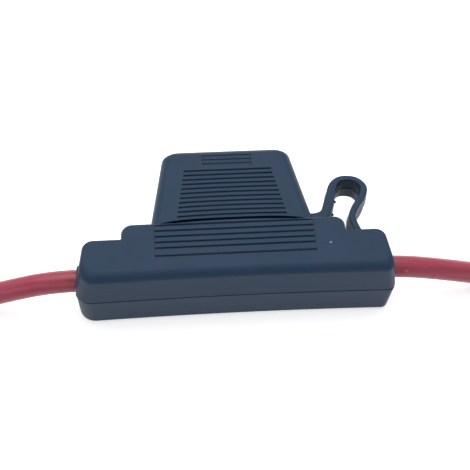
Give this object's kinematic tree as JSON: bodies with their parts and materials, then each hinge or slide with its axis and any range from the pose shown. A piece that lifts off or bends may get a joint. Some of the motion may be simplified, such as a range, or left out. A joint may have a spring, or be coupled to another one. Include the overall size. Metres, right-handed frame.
{
  "type": "in-line waterproof blade fuse holder",
  "caption": "In-line holder for one large blade fuse: stepped two-half body, tall ribbed pull-off cap on a looped tether strap, heavy red leads with stripped ends.",
  "frame": {"origin": "centre of the bottom of the body and cap's box, on the plane that the rear pad lies on", "axes": "+X along the leads towards the tether, +Y the way the cap pulls off, +Z out of the front face"},
  "size_m": [0.3089, 0.0441, 0.0229],
  "materials": {
    "housing_plastic": "satin moulded dark slate plastic",
    "seal_rubber": "matt black rubber",
    "fuse_plastic": "clear tinted plastic",
    "fuse_zinc": "stamped zinc sheet",
    "tinned_copper": "tinned copper sheet",
    "spring_steel": "spring steel strip",
    "lead_insulation": "soft satin red cable insulation",
    "bare_copper": "bare stranded copper"
  },
  "bodies": {
    "housing": {"front_shell": "housing_plastic", "rear_shell": "housing_plastic", "cap_seal": "seal_rubber", "fuse_body": "fuse_plastic", "fuse_element": "fuse_zinc", "terminal_left": "tinned_copper", "terminal_right": "tinned_copper", "contact_spring_left": "spring_steel", "contact_spring_right": "spring_steel", "grommet_left": "seal_rubber", "grommet_right": "seal_rubber", "lead_left": "lead_insulation", "lead_right": "lead_insulation", "lead_strands_left": "bare_copper", "lead_strands_right": "bare_copper", "crimped_strands_left": "bare_copper", "crimped_strands_right": "bare_copper"},
    "cap": {"fuse_cap": "housing_plastic"}
  },
  "joints": [
    {"name": "cap_pull", "type": "slide", "parent": "housing", "child": "cap", "axis": [0, 1, 0], "range_m": [0, 0.026]}
  ]
}
